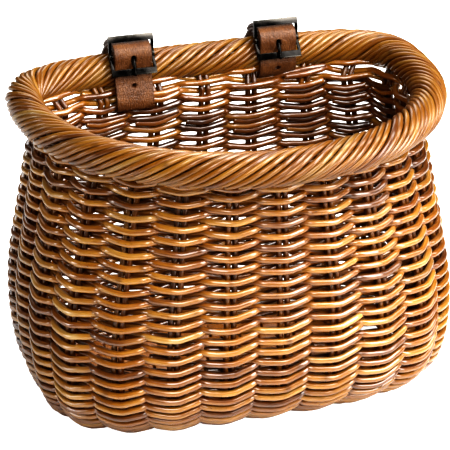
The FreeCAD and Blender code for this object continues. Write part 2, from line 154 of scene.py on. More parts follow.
BACK_SHARES, FRONT_SHARES = stake_shares()
BACK_SPACES = len(BACK_SHARES) - 1
STAKE_PAIRS = BACK_SPACES + FRONT_SPACES


def flat_ring(halves, u):
    """Points of a ring at places u: whole numbers are stake pairs, counted anticlockwise."""
    u = np.asarray(u, float) % STAKE_PAIRS
    (back, back_run), (front, front_run) = halves
    b = np.interp(u, np.arange(BACK_SPACES + 1), BACK_SHARES) * back_run[-1]
    f = np.interp(u, BACK_SPACES + np.arange(FRONT_SPACES + 1), FRONT_SHARES) * front_run[-1]
    behind = u <= BACK_SPACES
    x = np.where(behind, np.interp(b, back_run, back[:, 0]), np.interp(f, front_run, front[:, 0]))
    y = np.where(behind, np.interp(b, back_run, back[:, 1]), np.interp(f, front_run, front[:, 1]))
    return np.column_stack([x, y])


def wall_ring(z, u):
    """Middles of the stakes at one height; above the top row they lean towards the rim."""
    level = min(z, STAKE_TOP)
    points = flat_ring(wall_halves(level), u)
    if z > level:
        share = (z - level) / (RIM_HEIGHT - level)
        points = points + share * (flat_ring(rim_halves(), u) - points)
    return np.column_stack([points, np.full(len(points), z)])


def unit(vectors):
    """The same directions with a length of one."""
    return vectors / np.linalg.norm(vectors, axis=-1, keepdims=True)


def wall_frame(z, u):
    """Points of the wall at one height, with its outward and upward directions."""
    step, rise = 0.06, 0.004      # spaces along the wall, metres up it
    onward = unit(wall_ring(z, u + step) - wall_ring(z, u - step))
    up = unit(wall_ring(z + rise, u) - wall_ring(z - rise, u))
    return wall_ring(z, u), unit(np.cross(onward, up)), up


# ---- rods and strands ----------------------------------------------------------------------


WAVES = (1.0, 1.7, 2.9)       # how many times shorter each of a wobble's waves is
WAVE_PEAK = 1.6               # about the most that the waves add up to


def wobble(places, size, wavelength):
    """A smooth random wave."""
    total = np.zeros(len(places))
    for k in WAVES:
        phase = rng.uniform(0, 2 * math.pi)
        total += np.sin(2 * math.pi * k * places / wavelength + phase) / k
    return total * size / WAVE_PEAK


END_STEPS = ((0.17, 0.04), (0.16, 0.72), (0.10, 0.92))   # how far out and how wide, in radii
KNUCKLE_LENGTH = 0.0022
KNUCKLE_SWELL = 0.08


class Rods:
    """Collects round rods into one mesh, with the coordinates that the cane material reads."""

    def __init__(self, sides=12):
        self.sides = sides
        self.points, self.faces = [], []
        self.fields = {"tone": [], "grey": [], "mark": [], "cut": []}
        self.grain = []
        self.count = 0

    def add(self, middle, reference, radius, tone, grey=0.0, closed=False, knuckles=0.0):
        """One rod along middle; reference fixes its roll. tone 0 is dark and 1 is pale."""
        n = len(middle)
        radius = np.broadcast_to(radius, n).astype(float).copy()
        tone = np.broadcast_to(tone, n)
        mark = self.knuckles(running(middle), radius, knuckles)
        cut = np.zeros(n)
        if closed:
            heading = unit(np.roll(middle, -1, 0) - np.roll(middle, 1, 0))
        else:
            heading = unit(np.gradient(middle, axis=0))
            middle, radius = self.cut_ends(middle, heading, radius)
            pad = (len(END_STEPS), len(END_STEPS))
            heading = np.pad(heading, (pad, (0, 0)), "edge")
            reference = np.pad(reference, (pad, (0, 0)), "edge")
            tone, mark = np.pad(tone, pad, "edge"), np.pad(mark, pad, "edge")
            cut = np.pad(cut, pad, constant_values=1.0)
        first = unit(reference - heading * np.sum(reference * heading, axis=1, keepdims=True))
        self.put(middle, first, np.cross(heading, first), radius)
        for key, values in (("tone", tone), ("mark", mark), ("cut", cut),
                            ("grey", np.full(len(middle), grey))):
            self.fields[key].append(np.repeat(values, self.sides))
        self.skin(len(middle), closed)

    def cut_ends(self, middle, heading, radius):
        """Adds the steps that round off both ends."""
        first = [middle[0] - heading[0] * radius[0] * out for out, _ in END_STEPS]
        last = [middle[-1] + heading[-1] * radius[-1] * out for out, _ in END_STEPS[::-1]]
        wide = np.array([width for _, width in END_STEPS])
        return (np.vstack([first, middle, last]),
                np.concatenate([radius[0] * wide, radius, radius[-1] * wide[::-1]]))

    def knuckles(self, run, radius, per_metre):
        """Swells the radius at the cane's knuckles and returns how marked each place is."""
        mark = np.zeros(len(run))
        for place in rng.uniform(0, run[-1], rng.poisson(per_metre * run[-1])):
            near = np.exp(-((run - place) / KNUCKLE_LENGTH)**2)
            radius *= 1 + KNUCKLE_SWELL * near
            mark = np.maximum(mark, near * rng.uniform(0.5, 1))
        return mark

    def put(self, middle, first, second, radius):
        """Adds the rings of points round a rod, and the fibre coordinates at them."""
        angle = 2 * math.pi * np.arange(self.sides) / self.sides
        c, s = np.cos(angle)[None, :, None], np.sin(angle)[None, :, None]
        spokes = c * first[:, None] + s * second[:, None]
        self.points.append((middle[:, None] + radius[:, None, None] * spokes).reshape(-1, 3))
        grain = np.empty((len(middle), self.sides, 3))
        grain[..., 0] = (running(middle) + rng.uniform(0, 40))[:, None]
        grain[..., 1] = radius[:, None] * np.cos(angle)
        grain[..., 2] = radius[:, None] * np.sin(angle)
        self.grain.append(grain.reshape(-1, 3))

    def skin(self, n, closed):
        """Adds the faces between n rings, and the two end caps of an open rod."""
        ring = np.arange(self.sides)
        following = (ring + 1) % self.sides
        starts = self.count + self.sides * np.arange(n)
        pairs = zip(starts, np.roll(starts, -1)) if closed else zip(starts, starts[1:])
        for a, b in pairs:
            self.faces += np.column_stack([a + ring, a + following, b + following, b + ring]).tolist()
        if not closed:
            self.faces.append((starts[0] + ring[::-1]).tolist())
            self.faces.append((starts[-1] + ring).tolist())
        self.count += n * self.sides

    def make(self, name, material, slot, *nodes):
        """Turns all the rods into one piece that stands for the given nodes."""
        mesh = bpy.data.meshes.new(name)
        mesh.from_pydata(np.vstack(self.points), [], self.faces)
        mesh.shade_smooth()
        grain = mesh.attributes.new("grain", "FLOAT_VECTOR", "POINT")
        grain.data.foreach_set("vector", np.vstack(self.grain).astype(np.float32).ravel())
        for key, values in self.fields.items():
            field = mesh.attributes.new(key, "FLOAT", "POINT")
            field.data.foreach_set("value", np.concatenate(values).astype(np.float32))
        return place(name, mesh, material, slot, BASKET, *nodes)


def place(name, mesh, material, slot, body, *nodes):
    """Puts a finished mesh in the scene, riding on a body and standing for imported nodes."""
    piece = bpy.data.objects.new(name, mesh)
    bpy.context.scene.collection.objects.link(piece)
    mesh.materials.clear()
    mesh.materials.append(material)
    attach(piece, body)
    if nodes:
        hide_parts(*nodes)
    return piece


PLAIN_BELOW, PALE_BELOW = 0.74, 0.87     # shares of the cane; what is above is dark


def cane_tone():
    """Tone and greyness of one length of cane."""
    kind = rng.uniform()
    if kind < PLAIN_BELOW:
        return rng.uniform(0.42, 0.68), rng.uniform(0.0, 0.2)
    if kind < PALE_BELOW:
        return rng.uniform(0.60, 0.74), rng.uniform(0.3, 0.8)
    return rng.uniform(0.24, 0.42), rng.uniform(0.1, 0.5)


# ---- the woven wall ------------------------------------------------------------------------

ROW_STEPS = 20                # points from one stake pair to the next
TUCK = 0.42                   # how far a strand's ends run on past each other, in spaces
TUCK_LIFT = 0.9               # and how far apart they lie there, in strand radii
TUCK_DEPTH = 0.0006
SPLICE = (2, 6)               # fewest and most (one less) pairs of spaces in one strand's length
INNER_SHADE = 0.24            # painted shade: how much darker a strand is on its inner passes, which lie in the wall's shade
CORNER = 0.07                 # the strands bend at the right-hand stake of a pair
CORNER_SOFT = 0.008
SMILE_MIDDLE = 0.4            # the share of a bend that lies below the strand's own height
BEND_HEIGHTS = (0.0, 0.04, 0.09, 0.15)             # heights up the wall
CLIMBS = (0.0008, 0.0016, 0.0014, 0.0004)          # a strand's rise along a pass there
BENDS = (0.0016, 0.0032, 0.0030, 0.0023)           # and the depth of its bend
THICK_HEIGHTS = (0.0, 0.05)
SLOW_WAVE, QUICK_WAVE = (0.0003, 6.3), (0.0002, 2.1)   # size and wavelength of the unevenness
TURN_IN_PLACES = (0.0, 0.07, 0.13, 0.40, 0.46, 0.5)     # spaces from a stake pair
TURN_IN_SHARES = (1.0, 0.99, 0.94, 0.50, 0.26, 0.0)     # and how far out a strand is there
RIGHT_STRAP_Z = 0.2246        # where the right strap passes through the back wall
STRAP_PUSH = {"left": 0.0024, "right": 0.0016}     # how far each strap pushes the strands
PUSH_REACH = 0.007            # the push fades over this height
PUSH_WIDTH = 1.25             # and over this many half widths of the strap
UNBENT = 0.6                  # share of its bend that a pushed strand loses
PUSHED = 0.001                # a push of this much counts in full


def row_pitch(k):
    """The height that one row takes up."""
    below = LEVELS[k] - LEVELS[k - 1] if k > 0 else LEVELS[1] - LEVELS[0]
    above = LEVELS[k + 1] - LEVELS[k] if k + 1 < len(LEVELS) else below
    return min(below, above)


def in_and_out(u, strand):
    """1 outside a stake pair, -1 inside the next, turning through the wall between them."""
    pair = np.round(u)
    sign = np.where((pair + strand) % 2 == 0, 1.0, -1.0)
    return sign * np.interp(np.abs(u - pair), TURN_IN_PLACES, TURN_IN_SHARES)


def smile(u):
    """0 at the bend by a stake pair, 1 half way to the next pair."""
    d = u - np.round(u) - CORNER
    share = np.where(d > 0, d / (0.5 - CORNER), -d / (0.5 + CORNER))
    soft = np.sqrt(share**2 + CORNER_SOFT) - math.sqrt(CORNER_SOFT)
    return soft / (math.sqrt(1 + CORNER_SOFT) - math.sqrt(CORNER_SOFT))


def climb(u, strand):
    """Rises from -1 to 1 along each outer pass and comes down again along the inner one."""
    d = u - np.round(u)
    sign = np.where((np.round(u) + strand) % 2 == 0, 1.0, -1.0)
    return sign * np.sin(math.pi * d)


def strand_cuts(strand):
    """The stake pairs at which one strand is spliced; the fourth strand is at the back only."""
    start = 2 * int(rng.integers(STAKE_PAIRS // 2)) + 1 - strand % 2
    length = STAKE_PAIRS
    if strand == 3:
        start, length = 1, BACK_SPACES - 2
    cuts = [start]
    while cuts[-1] < start + length:
        cuts.append(min(cuts[-1] + 2 * int(rng.integers(*SPLICE)), start + length))
    return cuts


def woven_row(k, material):
    """Two strands that go outside and inside of the stake pairs by turns, one above the other.

    The top row has two more, which fill the wall up to the rim.
    """
    rods = Rods()
    pitch = row_pitch(k)
    thick = np.interp(LEVELS[k], THICK_HEIGHTS, (FOOT_WOVEN_R, WOVEN_R))
    rise_at_tip = np.interp(LEVELS[k], BEND_HEIGHTS, CLIMBS)
    bow = np.interp(LEVELS[k], BEND_HEIGHTS, BENDS)
    for strand in range(4 if k == len(LEVELS) - 1 else 2):
        z = LEVELS[k] + (0.5 * strand - 0.25) * pitch
        cuts = strand_cuts(strand)
        for begin, end in zip(cuts, cuts[1:]):
            u = np.arange((begin - TUCK) * ROW_STEPS, (end + TUCK) * ROW_STEPS) / ROW_STEPS
            middle, out, up = wall_frame(z, u)
            across = STRAND_OFFSET * in_and_out(u, strand)
            rise = rise_at_tip * climb(u, strand) + bow * (smile(u) - SMILE_MIDDLE)
            rise += wobble(u, *SLOW_WAVE) + wobble(u, *QUICK_WAVE)
            push = strap_push(z, middle)
            rise = rise * (1 - UNBENT * np.clip(np.abs(push) / PUSHED, 0, 1)) + push
            first = np.clip((TUCK - (u - begin)) / TUCK, 0, 1)**0.5
            last = np.clip((TUCK - (end - u)) / TUCK, 0, 1)**0.5
            rise += (first - last) * thick * TUCK_LIFT
            across -= (first + last) * TUCK_DEPTH
            tone, grey = cane_tone()
            radius = thick * rng.uniform(0.95, 1.05) * (1 + wobble(u, 0.03, 5))
            middle = middle + out * across[:, None] + up * rise[:, None]
            middle[:, 2] = np.maximum(middle[:, 2], radius + 0.0002)
            # painted shade: the inner passes are darkened as if they lie in the wall's shade
            inner = np.clip(0.5 - 0.8 * in_and_out(u, strand), 0, 1)
            tone = np.clip(tone + wobble(u, 0.08, 4.4) - INNER_SHADE * inner, 0, 1)
            rods.add(middle, out, radius, tone, grey, knuckles=3.0)
    rods.make("woven_" + ROW_NODES[k], material, "rattan_strand", ROW_NODES[k])


def strap_push(z, middle):
    """Where a strap passes through the back wall it pushes the strands apart."""
    gaps = {"left": (LEVELS[-1] + LEVELS[-2]) / 2, "right": RIGHT_STRAP_Z}
    push = np.zeros(len(middle))
    for side, gap_z in gaps.items():
        low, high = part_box("strap_" + side)
        half = (high.x - low.x) / 2
        share = math.exp(-abs(z - gap_z) / PUSH_REACH) * math.copysign(1, z - gap_z)
        beside = np.exp(-(np.abs(middle[:, 0] - (low.x + half)) / (half * PUSH_WIDTH))**4)
        push += STRAP_PUSH[side] * share * beside
    return push * (middle[:, 1] > 0)


STAKE_FOOT = 0.0028           # height of the stakes' lower ends
STAKE_STEPS = 44
LEAN_STEPS = 7                # points from the top row to the rim
STAKE_STOP = 0.0095           # the stakes end this far from the rim's middle line
STAKE_SHADE = 0.6             # painted shade: their tone against the strands', darker as if in shade behind the strands


def stakes(material):
    """Pairs of uprights from the foot of the wall into the rolled border."""
    heights = STAKE_FOOT + (STAKE_TOP - STAKE_FOOT) * np.linspace(0, 1, STAKE_STEPS)**1.3
    pairs = np.arange(STAKE_PAIRS).astype(float)
    beside = 0.05                 # spaces, for the direction along the wall
    rods = Rods()
    target = flat_ring(rim_halves(), pairs)
    for side in (-1, 1):
        columns, outs = [], []
        for z in heights:
            ahead = wall_ring(z, pairs + beside) - wall_ring(z, pairs - beside)
            middle, out, _ = wall_frame(z, pairs)
            columns.append(middle + unit(ahead) * STAKE_PAIR_GAP / 2 * side)
            outs.append(out)
        columns, outs = np.array(columns), np.array(outs)
        for i in range(STAKE_PAIRS):
            line = columns[:, i]
            aim = line[-1] - wall_ring(STAKE_TOP, pairs[i:i + 1])[0]
            aim[:2] += target[i]
            aim[2] = RIM_HEIGHT
            leap = aim - line[-1]
            leap = leap * (1 - STAKE_STOP / np.linalg.norm(leap))
            s = np.linspace(0, 1, LEAN_STEPS + 1)[1:, None]
            line = np.vstack([line, line[-1] + leap * s])
            reference = np.vstack([outs[:, i], np.repeat(outs[-1:, i], LEAN_STEPS, axis=0)])
            tone, grey = cane_tone()
            # painted shade: the stakes are darkened as if they stand in shade behind the strands
            rods.add(line, reference, STAKE_R * rng.uniform(0.97, 1.03), tone * STAKE_SHADE, grey,
                     knuckles=5.0)
    rods.make("stake_rods", material, "rattan_rod", "side_stakes")


# ---- the rolled rim ------------------------------------------------------------------------


def rim_line():
    """The rim's middle line anticlockwise, its outward directions and running lengths."""
    u = np.arange(0, STAKE_PAIRS, 0.05)
    points = flat_ring(rim_halves(), u)
    around = np.vstack([points, points[:1]])
    onward = np.roll(points, -1, 0) - np.roll(points, 1, 0)
    out = unit(np.column_stack([onward[:, 1], -onward[:, 0]]))
    return points, out, running(around)


RIM_POINTS, RIM_OUT, RIM_RUN = rim_line()


def rim_place(s, angle, radius):
    """A point by distance along the rim and angle round it (0 outside, 90 degrees on top)."""
    s = np.asarray(s) % RIM_RUN[-1]

    def read(values, k):
        return np.interp(s, RIM_RUN, np.append(values[:, k], values[0, k]))

    middle = np.column_stack([read(RIM_POINTS, 0), read(RIM_POINTS, 1), np.full(len(s), RIM_HEIGHT)])
    level = unit(np.column_stack([read(RIM_OUT, 0), read(RIM_OUT, 1)]))
    spoke = np.column_stack([level * np.cos(angle)[:, None], np.sin(angle)])
    return middle + spoke * np.reshape(radius, (-1, 1)), spoke


RIM_ROD_R = 0.00215
RIM_TURN = 0.118              # how far a rim rod travels in one turn round the rim
RIM_SPACING = 2.0             # between the middles of neighbouring rods, in rod radii
RIM_BEGIN, RIM_END = -60, 262     # degrees round the rim, from the outside over the top
RIM_STEPS = 52
RIM_UNEVEN = 0.0007           # how far in a rod may lie
RIM_DIVE = 0.003              # how far its last part dives under its neighbours
BUNDLE_ROD_R = 0.0023
BUNDLE_STEPS = 200


def rim_rods(material):
    """The wound layer: each rod climbs from a cut end outside, over the top and in under."""
    rods = Rods()
    wound_r = RIM_R - RIM_ROD_R - 0.0002
    slant = math.atan2(2 * math.pi * wound_r, RIM_TURN)
    count = round(RIM_RUN[-1] * math.sin(slant) / (RIM_SPACING * RIM_ROD_R))
    spacing = RIM_RUN[-1] / count
    share = np.linspace(0, 1, RIM_STEPS)
    dive = RIM_DIVE * np.clip((share - 0.93) / 0.07, 0, 1)
    for i in range(count):
        begin = math.radians(RIM_BEGIN + rng.uniform(-8, 6))
        end = math.radians(RIM_END + rng.uniform(-8, 8))
        angle = np.linspace(begin, end, RIM_STEPS)
        s = (i + rng.uniform(-0.16, 0.16)) * spacing + angle * RIM_TURN / (2 * math.pi)
        radius = wound_r - RIM_UNEVEN * rng.uniform(0, 1) - dive
        middle, spoke = rim_place(s, angle, radius)
        tone, grey = cane_tone()
        tone = 0.25 + 0.6 * tone + wobble(share, 0.05, 1.5)
        rods.add(middle, spoke, RIM_ROD_R * rng.uniform(0.88, 1.05), tone, grey * 0.7, knuckles=3.0)
    rods.make("rim_wound_rods", material, "rattan_strand", "rim_border")


def rim_bundle(material):
    """Rods that run along inside the wound layer, round the core hoop; dark, as painted shade in the
    gaps between the wound rods.
    """
    rods = Rods(10)
    ring_r = CORE_R + BUNDLE_ROD_R + 0.0002
    count = int(2 * math.pi * ring_r / (2 * BUNDLE_ROD_R))
    s = np.linspace(0, RIM_RUN[-1], BUNDLE_STEPS, endpoint=False)
    for i in range(count):
        angle = np.full(len(s), 2 * math.pi * i / count)
        middle, spoke = rim_place(s, angle, ring_r)
        # painted shade: the bundle gets a dark tone so that the gaps between the wound rods look
        # shaded
        rods.add(middle, spoke, BUNDLE_ROD_R, 0.25, 0.2, closed=True)
    rods.make("rim_bundle", material, "rattan_rod")


# ---- bands: leather straps and flat splints ------------------------------------------------


def band_mesh(name, line, width, thickness, edge_r, across_steps=14):
    """A flat band along a line, with rounded edges, lying level from side to side."""
    across = np.array([1.0, 0, 0])
    heading = unit(np.gradient(line, axis=0))
    face = unit(np.cross(heading, across))
    profile = band_profile(width, thickness, edge_r, across_steps)
    n, m = len(line), len(profile)
    points = (line[:, None] + across[None, None] * profile[None, :, 0, None]
              + face[:, None] * profile[None, :, 1, None]).reshape(-1, 3)
    faces = []
    ring = np.arange(m)
    following = (ring + 1) % m
    for i in range(n - 1):
        a, b = i * m, (i + 1) * m
        faces += np.column_stack([a + ring, a + following, b + following, b + ring]).tolist()
    faces.append(ring[::-1].tolist())
    faces.append(((n - 1) * m + ring).tolist())
    mesh = bpy.data.meshes.new(name)
    mesh.from_pydata(points, [], faces)
    run = running(line)
    sheet = np.empty((n, m, 3))
    sheet[..., 0] = run[:, None]
    sheet[..., 1] = profile[:, 0]
    sheet[..., 2] = profile[:, 1]
    field = mesh.attributes.new("sheet", "FLOAT_VECTOR", "POINT")
    field.data.foreach_set("vector", sheet.astype(np.float32).ravel())
    shape = bmesh.new()
    shape.from_mesh(mesh)
    bmesh.ops.recalc_face_normals(shape, faces=shape.faces)
    shape.to_mesh(mesh)
    shape.free()
    mesh.shade_smooth()
    return mesh


def band_profile(width, thickness, edge_r, steps):
    """A rounded rectangle, anticlockwise, as (sideways, outward) places."""
    x = width / 2 - edge_r
    y = thickness / 2 - edge_r
    points = [(sideways, -thickness / 2) for sideways in np.linspace(-x, x, steps)]
    points += quarter_turn(x, -y, edge_r, -90) + quarter_turn(x, y, edge_r, 0)
    points += [(sideways, thickness / 2) for sideways in np.linspace(x, -x, steps)[1:]]
    points += quarter_turn(-x, y, edge_r, 90) + quarter_turn(-x, -y, edge_r, 180)
    return np.array(points[:-1])


def quarter_turn(x, y, radius, first):
    """Points of a rounded corner, without the one it starts from."""
    turns = [math.radians(first + degrees) for degrees in (22.5, 45, 67.5, 90)]
    return [(x + radius * math.cos(turn), y + radius * math.sin(turn)) for turn in turns]


def side_loop(node):
    """The outline of a strap seen from its side, as (y, z) places in order."""
    outline = bmesh.new()
    outline.from_mesh(frame["nodes"][node].data)
    bmesh.ops.remove_doubles(outline, verts=outline.verts, dist=1e-6)
    left = min(v.co.x for v in outline.verts)
    cap = [f for f in outline.faces if all(v.co.x < left + 1e-5 for v in f.verts)]
    on_cap = set(cap)
    border = [e for f in cap for e in f.edges if sum(g in on_cap for g in e.link_faces) == 1]
    neighbours = {}
    for e in border:
        a, b = e.verts
        neighbours.setdefault(a, []).append(b)
        neighbours.setdefault(b, []).append(a)
    first = next(iter(neighbours))
    loop, before, here = [first], None, first
    while True:
        onward = [v for v in neighbours[here] if v is not before]
        before, here = here, onward[0]
        if here is first:
            break
        loop.append(here)
    points = np.array([(v.co.y, v.co.z) for v in loop])
    outline.free()
    return points


def corner_turn(points, i):
    """How far a closed outline turns at one of its points, in degrees."""
    before = points[i] - points[i - 1]
    after = points[(i + 1) % len(points)] - points[i]
    cross = before[0] * after[1] - before[1] * after[0]
    return math.degrees(math.atan2(cross, before @ after))


def strap_line(node):
    """The middle line of a strap's leather and its thickness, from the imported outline."""
    points = side_loop(node)
    n = len(points)
    turns = [corner_turn(points, i) for i in range(n)]
    square = 60
    ends = []
    for i in range(n):
        j = (i + 1) % n
        if abs(turns[i]) > square and abs(turns[j]) > square:
            ends.append((i, j))
    (first_a, first_b), (last_a, last_b) = ends[:2]
    thickness = float(np.linalg.norm(points[first_b] - points[first_a]))
    one_side = points[first_b:last_a + 1]
    heading = unit(np.gradient(one_side, axis=0))
    inward = np.column_stack([-heading[:, 1], heading[:, 0]])
    if turns[first_b] < 0:
        inward = -inward
    line = one_side + inward * thickness / 2
    return line, thickness


def even_line(points, spacing):
    """The same line with evenly spaced points."""
    run = running(points)
    count = max(int(run[-1] / spacing), 2)
    s = np.linspace(0, run[-1], count + 1)
    return np.column_stack([np.interp(s, run, points[:, k]) for k in range(points.shape[1])])


def cut_hole(piece, tool_mesh):
    """Cuts a closed tool shape out of a piece."""
    tool = bpy.data.objects.new("hole_tool", tool_mesh)
    bpy.context.scene.collection.objects.link(tool)
    cut = piece.modifiers.new("hole", "BOOLEAN")
    cut.operation, cut.solver, cut.object = "DIFFERENCE", "EXACT", tool
    bpy.context.view_layer.update()
    graph = bpy.context.evaluated_depsgraph_get()
    mesh = bpy.data.meshes.new_from_object(piece.evaluated_get(graph), depsgraph=graph,
                                           preserve_all_data_layers=True)
    piece.modifiers.clear()
    piece.data = mesh
    bpy.data.objects.remove(tool)


STRAP_EDGE_R = 0.0008
STRAP_STEP = 0.0009
TAIL_Y = -0.019               # the tail's layer, from the rim's middle towards the inside
SPARE_HOLE_Z = -0.0074        # heights above the rim's middle; clear of the buckle's lower bar
SPARE_HOLE_R = 0.0016
PRONG_SLOT_Z = (0.01075, 0.0170)
PRONG_SLOT_R = 0.0020
SLOT_DEPTH = 0.0095           # enough for the tail and no other layer
SLOT_SIDES = 32


def strap(side, material):
    """One strap's leather, with the hole that the prong stands in and the spare hole."""
    node = "strap_" + side
    low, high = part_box(node)
    line, thickness = strap_line(node)
    line = even_line(line, STRAP_STEP)
    x = (low.x + high.x) / 2
    line = np.column_stack([np.full(len(line), x), line])
    mesh = band_mesh("leather_" + side, line, high.x - low.x, thickness, STRAP_EDGE_R)
    piece = place("leather_" + side, mesh, material, "leather", side + "_strap", node)
    near = RIM_HIGH.y - RIM_R + TAIL_Y
    cut_hole(piece, slot_mesh((x, near, RIM_HEIGHT + SPARE_HOLE_Z), 0.0, SPARE_HOLE_R))
    low_z, high_z = PRONG_SLOT_Z
    slot_middle = (x, near, RIM_HEIGHT + (low_z + high_z) / 2)
    cut_hole(piece, slot_mesh(slot_middle, high_z - low_z - 2 * PRONG_SLOT_R, PRONG_SLOT_R))


def slot_mesh(middle, straight, radius):
    """An upright slot with round ends, or a round hole, pointing along Y."""
    outline = []
    for i in range(SLOT_SIDES):
        turn = 2 * math.pi * i / SLOT_SIDES
        z = radius * math.sin(turn) + math.copysign(straight / 2, math.sin(turn + 1e-6))
        outline.append((radius * math.cos(turn), z))
    shape = bmesh.new()
    rings = [[shape.verts.new((middle[0] + x, middle[1] + dy, middle[2] + z)) for x, z in outline]
             for dy in (-SLOT_DEPTH / 2, SLOT_DEPTH / 2)]
    for i in range(SLOT_SIDES):
        j = (i + 1) % SLOT_SIDES
        shape.faces.new((rings[0][i], rings[0][j], rings[1][j], rings[1][i]))
    shape.faces.new(rings[0][::-1])
    shape.faces.new(rings[1])
    bmesh.ops.recalc_face_normals(shape, faces=shape.faces)
    mesh = bpy.data.meshes.new("slot")
    shape.to_mesh(mesh)
    shape.free()
    return mesh


# ---- metal fittings ------------------------------------------------------------------------


SAME_POINT = 2e-6
FLAT_ANGLE = math.radians(1.5)
SHARP_ANGLE = math.radians(40)


def softened(node, name, edge_r, material, slot, body):
    """A packed metal piece with its sharp edges rounded off."""
    shape = bmesh.new()
    shape.from_mesh(frame["nodes"][node].data)
    bmesh.ops.remove_doubles(shape, verts=shape.verts, dist=SAME_POINT)
    bmesh.ops.dissolve_limit(shape, angle_limit=FLAT_ANGLE, verts=shape.verts, edges=shape.edges)
    sharp = [e for e in shape.edges
             if len(e.link_faces) == 2 and e.calc_face_angle(0) > SHARP_ANGLE]
    bmesh.ops.bevel(shape, geom=sharp, offset=edge_r, segments=3, profile=0.5, affect="EDGES",
                    clamp_overlap=True)
    mesh = bpy.data.meshes.new(name)
    shape.to_mesh(mesh)
    shape.free()
    mesh.shade_smooth()
    return place(name, mesh, material, slot, body, node)


# ---- materials -----------------------------------------------------------------------------


class Nodes:
    """A short way to write a material's nodes."""

    def __init__(self, name):
        self.material = bpy.data.materials.new(name)
        self.material.use_nodes = True
        self.tree = self.material.node_tree
        self.tree.nodes.clear()
        self.output = self.add("ShaderNodeOutputMaterial")

    def add(self, kind, **settings):
        node = self.tree.nodes.new(kind)
        for key, value in settings.items():
            setattr(node, key, value)
        return node

    def link(self, source, target):
        self.tree.links.new(source, target)

    def feed(self, node, **inputs):
        """Sets inputs by name (underscores for spaces) to a value or another node's output."""
        for key, value in inputs.items():
            socket = node.inputs[key.replace("_", " ")]
            if isinstance(value, bpy.types.NodeSocket):
                self.link(value, socket)
            else:
                socket.default_value = value
        return node

    def field(self, name):
        return self.add("ShaderNodeAttribute", attribute_name=name)

    def scaled(self, vector, scale):
        node = self.add("ShaderNodeMapping")
        self.link(vector, node.inputs["Vector"])
        node.inputs["Scale"].default_value = scale
        return node.outputs["Vector"]

    def channel(self, vector, axis):
        node = self.add("ShaderNodeSeparateXYZ")
        self.link(vector, node.inputs[0])
        return node.outputs[axis]

    def noise(self, vector, scale=1.0, detail=3.0, roughness=0.5):
        node = self.add("ShaderNodeTexNoise")
        self.feed(node, Vector=vector, Scale=scale, Detail=detail, Roughness=roughness)
        return node.outputs["Fac"]

    def math(self, operation, a, b=0.0, clamp=False):
        node = self.add("ShaderNodeMath", operation=operation, use_clamp=clamp)
        for socket, value in zip(node.inputs, (a, b)):
            if isinstance(value, bpy.types.NodeSocket):
                self.link(value, socket)
            else:
                socket.default_value = value
        return node.outputs[0]

    def between(self, value, low, high, to_low=0.0, to_high=1.0):
        node = self.add("ShaderNodeMapRange", clamp=True)
        self.feed(node, Value=value, From_Min=low, From_Max=high, To_Min=to_low, To_Max=to_high)
        return node.outputs[0]

    def ramp(self, value, stops):
        node = self.add("ShaderNodeValToRGB")
        bar = node.color_ramp
        while len(bar.elements) < len(stops):
            bar.elements.new(0.5)
        for element, (position, colour) in zip(bar.elements, stops):
            element.position = position
            element.color = (*colour, 1)
        self.link(value, node.inputs[0])
        return node.outputs[0]

    def mix(self, share, a, b, kind="MIX"):
        node = self.add("ShaderNodeMix", data_type="RGBA", blend_type=kind)
        for socket, value in zip((node.inputs[0], node.inputs[6], node.inputs[7]), (share, a, b)):
            if isinstance(value, bpy.types.NodeSocket):
                self.link(value, socket)
            else:
                socket.default_value = value if isinstance(value, float) else (*value, 1)
        return node.outputs[2]

    def bump(self, height, distance, strength):
        node = self.add("ShaderNodeBump")
        self.feed(node, Height=height, Distance=distance, Strength=strength)
        return node.outputs[0]

    def finish(self, **inputs):
        shader = self.add("ShaderNodeBsdfPrincipled")
        self.feed(shader, **inputs)
        self.link(shader.outputs[0], self.output.inputs[0])
        return self.material


def linear(code):
    """The linear colour of a hex code."""
    channels = [int(code[i:i + 2], 16) / 255 for i in (0, 2, 4)]
    return tuple(c / 12.92 if c <= 0.04045 else ((c + 0.055) / 1.055)**2.4 for c in channels)


